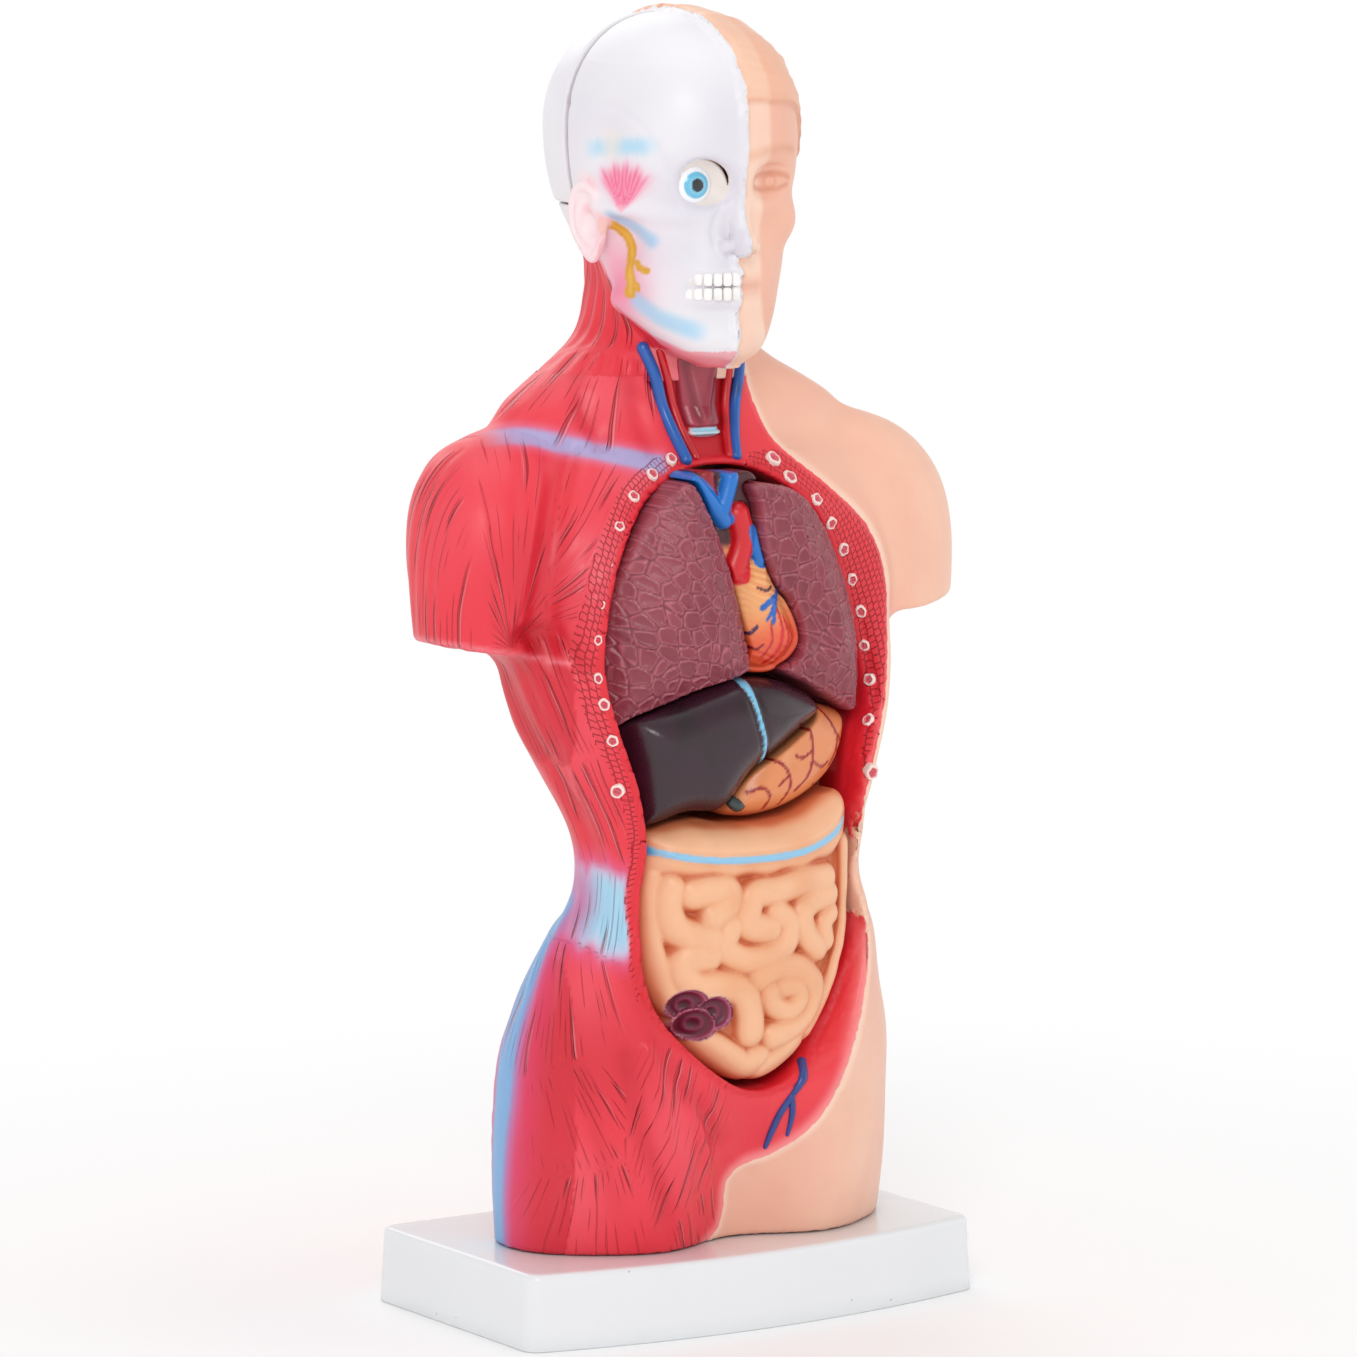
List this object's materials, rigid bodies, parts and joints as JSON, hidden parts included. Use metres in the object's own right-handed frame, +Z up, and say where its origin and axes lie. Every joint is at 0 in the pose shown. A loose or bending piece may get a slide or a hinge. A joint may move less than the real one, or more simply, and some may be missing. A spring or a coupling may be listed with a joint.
{
  "type": "anatomical torso model",
  "caption": "Small take-apart human torso and head on a plinth: muscle and skull side, skin side, organs that lift out of an open cavity.",
  "frame": {"origin": "centre of the overall plan box, on the surface the plinth stands on", "axes": "+Z up, -Y the way the figure faces, -X the figure's own right side"},
  "size_m": [0.133, 0.0718, 0.28],
  "materials": {
    "painted_pvc": "satin hand-painted soft plastic: red muscle side, peach skin side",
    "white_plastic": "glossy white moulding",
    "screw_steel": "zinc-plated screw",
    "bone_pvc": "satin white bone half, peach skin half",
    "brain_pvc": "satin pinkish soft plastic",
    "lung_pvc": "satin maroon paint over moulded lobules",
    "heart_pvc": "satin orange-red with painted vessels",
    "vessel_pvc": "satin red and blue painted vessels",
    "liver_pvc": "glossy near-black purple",
    "stomach_pvc": "satin orange-tan with painted vessels",
    "gland_pvc": "satin yellow gland and peach duodenum",
    "gut_pvc": "satin peach moulding",
    "peg_plastic": "off-white plastic dowel"
  },
  "bodies": {
    "torso": {"torso_shell": "painted_pvc", "base_plinth": "white_plastic", "base_screw_right": "screw_steel", "base_screw_left": "screw_steel"},
    "right_lung_rear": {"right_lung_rear": "lung_pvc", "right_lung_rear_peg": "peg_plastic"},
    "right_lung_front": {"right_lung_front": "lung_pvc", "right_lung_peg_upper": "peg_plastic", "right_lung_peg_lower": "peg_plastic"},
    "left_lung_rear": {"left_lung_rear": "lung_pvc", "left_lung_rear_peg": "peg_plastic"},
    "left_lung_front": {"left_lung_front": "lung_pvc", "left_lung_peg_upper": "peg_plastic", "left_lung_peg_lower": "peg_plastic"},
    "trachea_aorta": {"trachea_aorta": "vessel_pvc", "trachea_peg": "peg_plastic"},
    "heart_rear": {"heart_rear": "heart_pvc", "heart_rear_peg": "peg_plastic"},
    "heart_front": {"heart_front": "heart_pvc", "heart_peg": "peg_plastic"},
    "pancreas_duodenum": {"pancreas_duodenum": "gland_pvc", "pancreas_peg": "peg_plastic"},
    "stomach": {"stomach": "stomach_pvc", "stomach_peg": "peg_plastic"},
    "liver": {"liver": "liver_pvc", "liver_peg": "peg_plastic"},
    "intestines": {"intestines": "gut_pvc", "intestines_peg": "peg_plastic"},
    "brain_right": {"brain_right": "brain_pvc"},
    "brain_left": {"brain_left": "brain_pvc"},
    "skull_cap": {"skull_cap": "bone_pvc"}
  },
  "joints": [
    {"name": "right_lung_rear_lift", "type": "slide", "parent": "torso", "child": "right_lung_rear", "axis": [0, -1, 0], "range_m": [0, 0.055]},
    {"name": "right_lung_front_lift", "type": "slide", "parent": "right_lung_rear", "child": "right_lung_front", "axis": [0, -1, 0], "range_m": [0, 0.03]},
    {"name": "left_lung_rear_lift", "type": "slide", "parent": "torso", "child": "left_lung_rear", "axis": [0, -1, 0], "range_m": [0, 0.055]},
    {"name": "left_lung_front_lift", "type": "slide", "parent": "left_lung_rear", "child": "left_lung_front", "axis": [0, -1, 0], "range_m": [0, 0.03]},
    {"name": "trachea_lift", "type": "slide", "parent": "torso", "child": "trachea_aorta", "axis": [0, -1, 0], "range_m": [0, 0.05]},
    {"name": "heart_rear_lift", "type": "slide", "parent": "trachea_aorta", "child": "heart_rear", "axis": [0, -1, 0], "range_m": [0, 0.025]},
    {"name": "heart_front_lift", "type": "slide", "parent": "heart_rear", "child": "heart_front", "axis": [0, -1, 0], "range_m": [0, 0.03]},
    {"name": "pancreas_lift", "type": "slide", "parent": "torso", "child": "pancreas_duodenum", "axis": [0, -1, 0], "range_m": [0, 0.05]},
    {"name": "stomach_lift", "type": "slide", "parent": "pancreas_duodenum", "child": "stomach", "axis": [0, -1, 0], "range_m": [0, 0.035]},
    {"name": "liver_lift", "type": "slide", "parent": "stomach", "child": "liver", "axis": [0, -1, 0], "range_m": [0, 0.04]},
    {"name": "intestines_lift", "type": "slide", "parent": "torso", "child": "intestines", "axis": [0, -1, 0], "range_m": [0, 0.055]},
    {"name": "brain_right_lift", "type": "slide", "parent": "torso", "child": "brain_right", "axis": [0, 1, 0], "range_m": [0, 0.045]},
    {"name": "brain_left_lift", "type": "slide", "parent": "brain_right", "child": "brain_left", "axis": [0, 1, 0], "range_m": [0, 0.055]},
    {"name": "skull_cap_lift", "type": "slide", "parent": "brain_left", "child": "skull_cap", "axis": [0, 1, 0], "range_m": [0, 0.045]}
  ]
}
